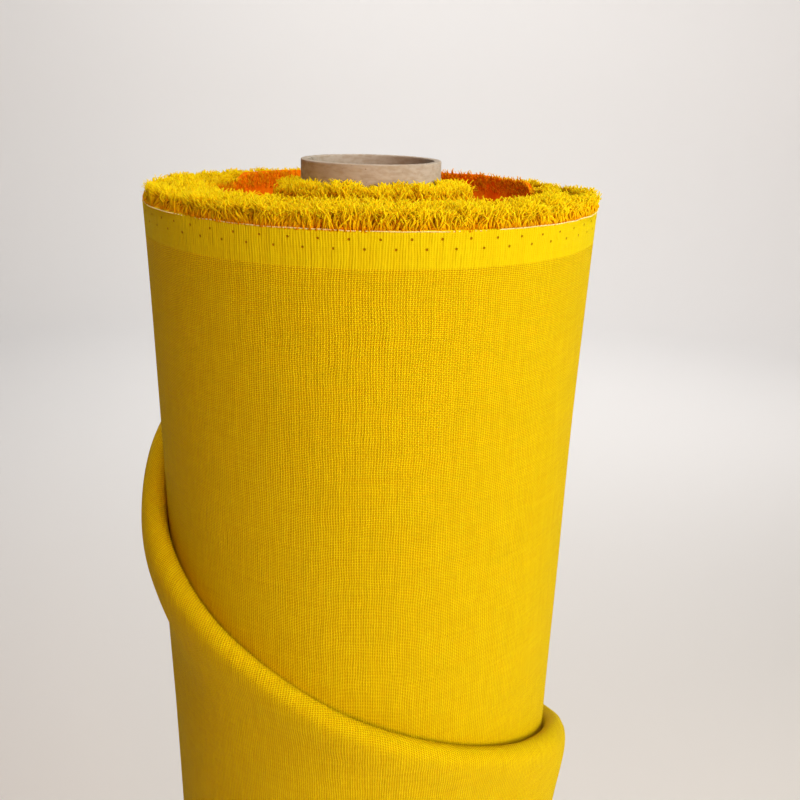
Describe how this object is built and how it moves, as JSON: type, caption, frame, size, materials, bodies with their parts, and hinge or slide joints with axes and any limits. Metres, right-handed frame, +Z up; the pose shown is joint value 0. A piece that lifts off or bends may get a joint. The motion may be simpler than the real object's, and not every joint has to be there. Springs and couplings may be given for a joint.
{
  "type": "fabric bolt",
  "caption": "Roll of plain-weave cloth on an open cardboard tube, standing on end, with fringed selvedges and a loose last lap whose top corner is tucked in.",
  "frame": {"origin": "on the tube's axis, on the floor that the roll stands on", "axes": "+Z up along the tube; -Y faces the viewer; the loose lap winds counter-clockwise seen from above"},
  "size_m": [0.2123, 0.2109, 1.47],
  "materials": {
    "linen": "matte",
    "fringe": "matte",
    "catch_thread": "matte",
    "cardboard": "matte",
    "paper_tape": "matte"
  },
  "bodies": {
    "root": {"core_tube": "cardboard", "start_tape_low": "paper_tape", "start_tape_middle": "paper_tape", "start_tape_high": "paper_tape", "inner_turns": "linen", "middle_turns": "linen", "outer_turns": "linen", "loose_lap": "linen", "tucked_corner": "linen", "top_fringe_inner": "fringe", "top_fringe_middle": "fringe", "top_fringe_outer": "fringe", "bottom_fringe_inner": "fringe", "bottom_fringe_middle": "fringe", "bottom_fringe_outer": "fringe", "bottom_fringe_lap": "fringe", "top_catch_thread": "catch_thread", "bottom_catch_thread": "catch_thread"}
  },
  "joints": []
}
